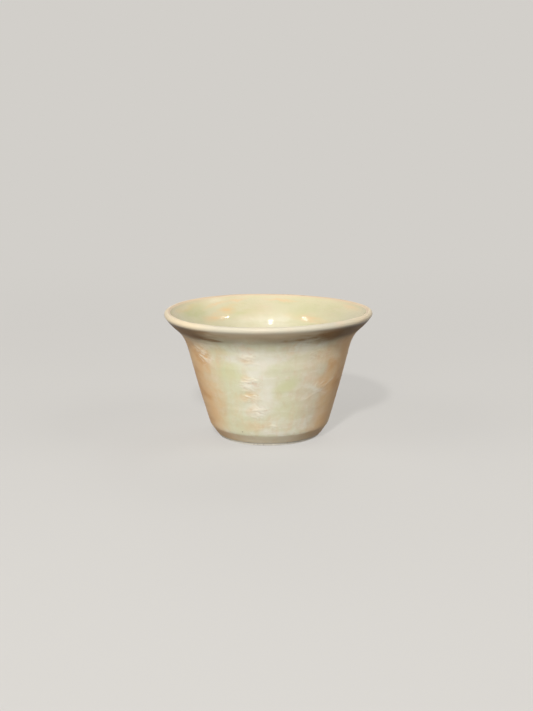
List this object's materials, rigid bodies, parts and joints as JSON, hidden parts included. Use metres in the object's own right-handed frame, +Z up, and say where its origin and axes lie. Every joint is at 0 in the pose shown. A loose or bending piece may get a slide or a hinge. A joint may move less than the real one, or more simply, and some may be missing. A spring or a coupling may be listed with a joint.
{
  "type": "sake cup",
  "caption": "Wheel-thrown sake cup with a flared, rounded lip, a trimmed foot, and celadon, cream and peach glaze over pale clay.",
  "frame": {"origin": "centre of the foot ring's contact face, on the table, under the cup's axis", "axes": "+Z up along the cup's axis; the side that the picture shows faces -Y, with +X to its right"},
  "size_m": [0.076, 0.076, 0.0463],
  "materials": {
    "bare_clay": "fired pale stoneware, matte, trimmed",
    "outer_glaze": "satin celadon with peach and cream clouds",
    "lip_glaze": "glossy cream, where two dips of glaze overlap",
    "inner_glaze": "glossy yellow-green cream with peach clouds"
  },
  "bodies": {
    "root": {"clay_body": "bare_clay", "outer_glaze": "outer_glaze", "lip_glaze": "lip_glaze", "inner_glaze": "inner_glaze"}
  },
  "joints": []
}
